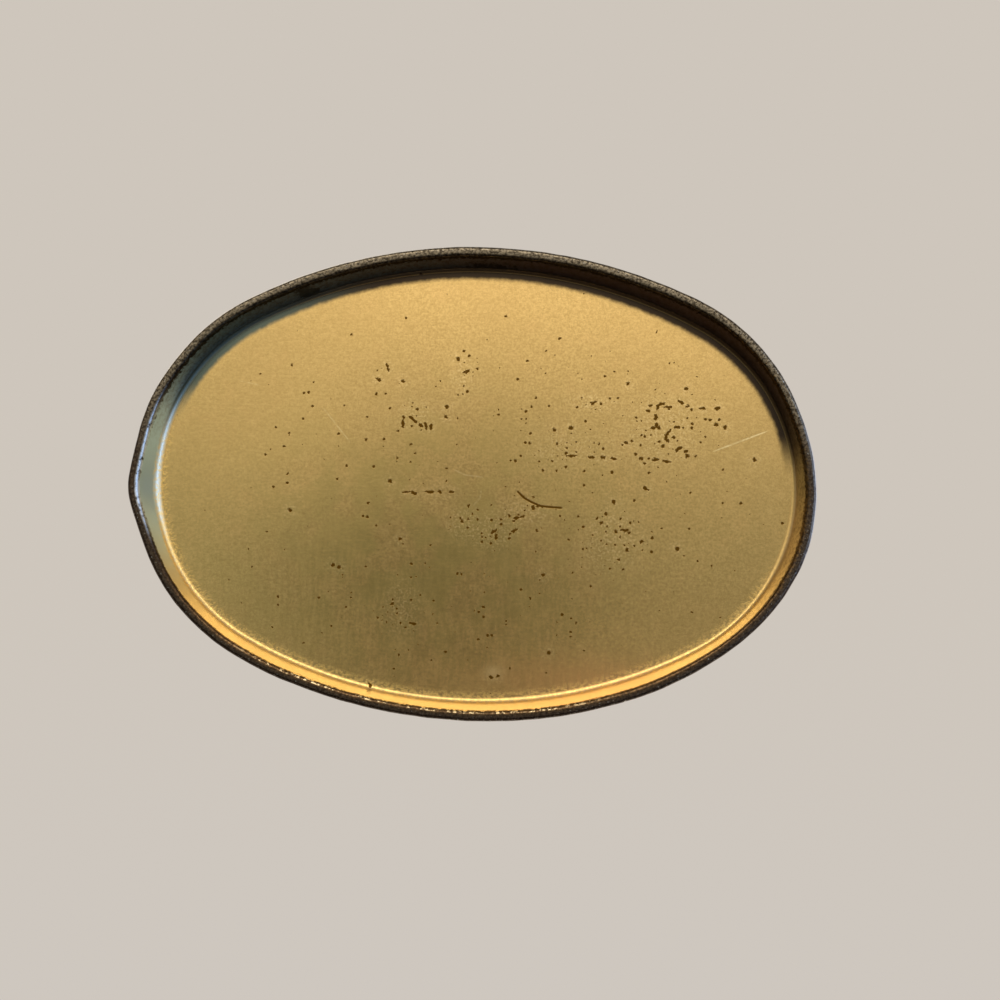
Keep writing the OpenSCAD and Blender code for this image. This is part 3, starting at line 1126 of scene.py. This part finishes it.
def add_lock(shell):
    """Adds the three folded leaves of the side seam inside the wall."""
    width = 2 * LOCK_HALF + LOCK_OVERLAP
    runs = [(-LOCK_HALF + i * width / FOLD_STEPS) % PERIMETER for i in range(FOLD_STEPS + 1)]
    for number, leaf_runs in enumerate((runs[1:], runs[:-1], runs)):
        outer = WALL - SHEET / 2 - number * LAYER - FOLD_GAP
        inner = outer - SHEET
        corners = [(outer, LOCK_FOOT), (inner, LOCK_FOOT), (inner, LOCK_TOP), (outer, LOCK_TOP)]
        leaf = divided(corners + corners[:1], 3)[:-1]
        rows = shell.sweep(leaf_runs, leaf, [INNER] * len(leaf), dented, closed=False)
        shell.cap(rows, INNER)


def make_body():
    """The wall with its base flange, bead, hemmed mouth and locked side seam."""
    line = [
        (BODY_HOOK, SEAM_TURN - LAYER),
        (BODY_HOOK, FLANGE_LEVEL, LAYER),
        (WALL, FLANGE_LEVEL, LAYER),
        *bead(WALL),
        *hem(WALL, MOUTH - SHEET / 2, MOUTH - HEM_LENGTH),
    ]
    outside, outline, finishes = sheet(line, -1, 3, 3)
    line_runs = [LOCK_LINE[0] - LINE_EDGE, *LOCK_LINE, LOCK_LINE[1] + LINE_EDGE]
    shell = Shell()
    shell.sweep(even_runs(AROUND, line_runs), outline, finishes, body_moved)
    add_lock(shell)
    beads = [(BEAD_LEVEL - BEAD_HALF, 0.7), (BEAD_LEVEL + BEAD_HALF, 0.7)]
    edges = [(SEAM_HEIGHT, 2.2), *beads, (MOUTH - SHEET, 0.8)]
    worn = [(length_to(outside, height), half) for height, half in edges]
    brown = brown_lacquer("brown_lacquer_body", worn)
    shell.piece("body_wall_sheet", [brown, TIN], "tin", ["body_wall"])


def make_collar():
    """A strip sprung inside the mouth, its ends apart at the side seam."""
    line = [(COLLAR, COLLAR_FOOT), *bead(COLLAR), *hem(COLLAR, COLLAR_TOP, COLLAR_HEM)]
    _, outline, _ = sheet(line, -1, 2.5, 2.5)
    half_gap = COLLAR_GAP / 2 * END_RADIUS / (END_RADIUS + COLLAR)
    strip = [run for run in RUNS if half_gap < run < PERIMETER - half_gap]
    strip = [half_gap, *strip, PERIMETER - half_gap]
    shell = Shell()
    rows = shell.sweep(strip, outline, [OUTER] * len(outline), closed=False)
    shell.cap(rows, OUTER)
    shell.piece("neck_collar_strip", [TIN], "tin", ["neck_collar"])


def make_lid():
    """The drawn cap with its raised panel, rounded shoulder and curled edge."""
    curl_foot = LID_EDGE + SHEET / 2
    curl_top = curl_foot + 2 * CURL_BEND
    curl_out = SKIRT + 2 * CURL_BEND
    line = [
        (LID_PANEL_EDGE, LID_PANEL),
        (SHELF_EDGE - LID_STEP, LID_PANEL, LID_STEP_BEND),
        (SHELF_EDGE, LID_SHELF, LID_STEP_BEND),
        (SKIRT, LID_SHELF, SHOULDER_BEND),
        (SKIRT, curl_foot, CURL_BEND),
        (curl_out, curl_foot, CURL_BEND),
        (curl_out, curl_top, CURL_BEND),
        (SKIRT + CURL_BEND, curl_top),
    ]
    _, outline, finishes = sheet(line, 1, 2, 2)
    shell = Shell()
    rows = shell.sweep(RUNS, outline, finishes, looped=False)
    shell.panel([row[0] for row in rows], LID_RINGS, OUTER, lid_waves)
    shell.panel([row[-1] for row in rows], LID_RINGS, INNER, lid_waves)
    step_at = SHELF_EDGE - LID_PANEL_EDGE
    shoulder_at = step_at + 6.4
    curl_at = step_at + LID_PANEL - LID_EDGE + 4
    worn = [(step_at - LID_STEP, 0.7), (shoulder_at, 1.6), (curl_at, 1.0)]
    brown = brown_lacquer("brown_lacquer_lid", worn)
    shell.piece("lid_cap_drawn", [brown, INSIDE_GOLD], "lid", ["lid_cap"])


def make_compound():
    """A thin bead of compound all the way round inside the seam."""
    half = SHEET / 2
    turns = [math.pi * i / ROUND_STEPS for i in range(ROUND_STEPS + 1)]
    outline = [
        (END_HOOK - half * math.cos(turn), COMPOUND_LEVEL - half * math.sin(turn)) for turn in turns
    ]
    outline += [(END_HOOK + half, COMPOUND_TOP), (END_HOOK - half, COMPOUND_TOP)]
    shell = Shell()
    shell.sweep(RUNS, outline, [OUTER] * len(outline), dented)
    shell.piece(
        "base_seam_compound_bead", [seam_compound()], "tin", ["base_seam_compound"]
    )


SOLDER_BACK = WALL - SHEET / 2 - FOLD_GAP
SOLDER_RISE = 3 * LAYER


def solder_section():
    """Runs along the wall and places across it, with the fillet's face drawn in a little."""
    along_scale = END_RADIUS / (END_RADIUS + WALL + SHEET / 2)
    start = -(LOCK_HALF + FOLD_GAP) * along_scale
    points = [(start, SOLDER_BACK)]
    for i in range(ROUND_STEPS + 1):
        t = i / ROUND_STEPS
        hollow = SOLDER_HOLLOW * t * (1 - t)
        run = start - SOLDER_WIDTH * (1 - t) * (1 - hollow)
        points.append((run, SOLDER_BACK - SOLDER_RISE * t * (1 - hollow)))
    return points


def solder_point(run, place, level):
    """A point of the solder, with its face rippled as it flowed."""
    flow = SOLDER_FLOW * noise.noise(Vector((run * 0.4, place, level * 0.35)))
    inner = (SOLDER_BACK - place) / SOLDER_RISE
    return on_oval(run, *dented(run, place + flow * inner * (1 - inner) * 4, level))


def make_solder():
    """A fillet up the inside of the side seam, beside its folds."""
    shell = Shell()
    section = solder_section()
    levels = [height for _, height in divided([(0, LOCK_FOOT), (0, LOCK_TOP)], 1.5)]
    rows = [
        [shell.add_point(solder_point(*spot, level)) for spot in section] for level in levels
    ]
    for below, over in pairwise(rows):
        shell.join(below, over, OUTER)
    shell.cap(rows, OUTER)
    shell.piece("side_seam_solder_fillet", [dull_solder()], "tin", ["side_seam_solder"])


FLOOR_REACH = 8.0
FLOOR_OPENING = -0.2
FLOOR_AROUND = 240


def make_floor():
    """A level floor, open under the tin."""
    inner = [on_oval(run, kink(run) + FLOOR_OPENING, 0) for run in even_runs(FLOOR_AROUND)]
    outer = [point.normalized() * FLOOR_REACH for point in inner]
    count = len(inner)
    quads = [(i, (i + 1) % count, count + (i + 1) % count, count + i) for i in range(count)]
    mesh = bpy.data.meshes.new("floor")
    mesh.from_pydata(inner + outer, [], quads)
    if mesh.polygons[0].normal.z < 0:
        mesh.flip_normals()
    mesh.materials.append(pale_floor())
    floor = placed("floor", mesh)


# World: pale studio walls above the floor, and below it the sky and shadows that the base mirrors

UPPER_TOP = tone(206, 198, 188)
UPPER_FOOT = tone(206, 199, 191)
HORIZON = tone(182, 171, 158)
AMBIENT = tone(163, 173, 165)
AMBIENT_WARM = tone(198, 182, 168)
AMBIENT_LEFT = tone(176, 184, 174)
AMBIENT_RIGHT = tone(150, 146, 136)
KEY_SKY = (1.5, 1.34, 1.13, 1)
FAR_SKY = (0.85, 0.76, 0.63, 1)
SIDE_SKY = (0.66, 0.78, 0.9, 1)
DARK = tone(12, 12, 10)
DARK_SIDE = tone(72, 60, 54)
DARK_BLUE = tone(62, 86, 108)
DARK_CENTRE = (-0.09, -0.037, -1)
DARK_REACH = (math.cos(math.radians(7)), math.cos(math.radians(2.6)))


def light_below(w, direction, x, y):
    """Light from below the floor, by direction."""
    facing = w.vector("DOT_PRODUCT", direction, tuple(Vector(DARK_CENTRE).normalized()))
    daylight = w.both(w.band(y, -0.5, -0.3, 0.12, 0.32), w.fade(x, 0.2, 0.42))
    dark_sides = w.either(
        w.fade(y, 0.28, 0.42),
        w.both(w.fade(x, -0.26, -0.45), w.fade(y, -0.08, 0.1, 0, 0.95)),
        w.fade(x, -0.35, -0.75, 0, 0.6),
    )
    return w.layered(
        AMBIENT,
        (w.fade(y, -0.02, 0.09), AMBIENT_WARM),
        (w.fade(x, -0.12, -0.24), AMBIENT_LEFT),
        (w.fade(x, 0.0, 0.1, 0, 0.6), AMBIENT_RIGHT),
        (w.fade(facing, *DARK_REACH), DARK),
        (w.fade(y, -0.05, -0.26), KEY_SKY),
        (w.fade(y, -0.3, -0.42), FAR_SKY),
        (daylight, SIDE_SKY),
        (dark_sides, w.mix(w.fade(x, 0.1, 0.4), DARK_SIDE, DARK_BLUE)),
    )


def make_world():
    """The studio round the tin."""
    world = bpy.data.worlds.new("studio")
    scene.world = world
    world.use_nodes = True
    w = Nodes(world.node_tree)
    direction = w.node("TexCoord").outputs["Generated"]
    x, y, z = w.parts(direction)
    walls = w.mix(w.fade(y, -0.1, 0.3), UPPER_TOP, UPPER_FOOT)
    above = w.mix(w.fade(z, 0.25, 0.0), walls, HORIZON)
    light = w.mix(w.fade(z, -0.06, -0.03), light_below(w, direction, x, y), above)
    background = w.node("Background", {"Color": light, "Strength": 1.0})
    w.node("OutputWorld", {"Surface": background.outputs[0]})


# Lamps, as name, place, aim, width, height, watts and colour

WARM = tone(255, 246, 232)
COOL = tone(226, 236, 255)
DAYLIGHT = tone(156, 192, 255)
LAMPS = [
    ("key_below", (-0.065, -0.41, -0.5), (-0.065, -0.41, 0), 0.55, 0.28, 1.5, WARM),
    ("window_below", (0.6, -0.06, -0.5), (0.6, -0.06, 0), 0.4, 0.78, 2.4, DAYLIGHT),
    ("window_side", (1.3, 0.0, 0.6), (0, 0, 0.05), 0.9, 0.5, 4.0, DAYLIGHT),
    ("key_above", (-0.6, -0.7, 0.9), (0, 0, 0.05), 0.8, 0.8, 5.5, WARM),
    ("fill_above", (0.8, -0.3, 0.7), (0, 0, 0.05), 0.7, 0.9, 2.6, COOL),
    ("back_above", (0.1, 0.9, 0.8), (0, 0, 0.06), 1.0, 0.6, 3.4, WARM),
]


def make_lamp(name, place, aim, width, height, watts, colour):
    """A soft rectangular lamp, not seen by the camera itself."""
    data = bpy.data.lights.new(name, "AREA")
    data.shape = "RECTANGLE"
    data.size = width
    data.size_y = height
    data.energy = watts
    data.color = colour[:3]
    lamp = placed(name, data)
    lamp.location = place
    lamp.rotation_euler = (Vector(aim) - Vector(place)).to_track_quat("-Z", "Y").to_euler()
    lamp.visible_camera = False


make_base()
make_body()
make_collar()
make_lid()
make_compound()
make_solder()
make_floor()
make_world()
for lamp in LAMPS:
    make_lamp(*lamp)
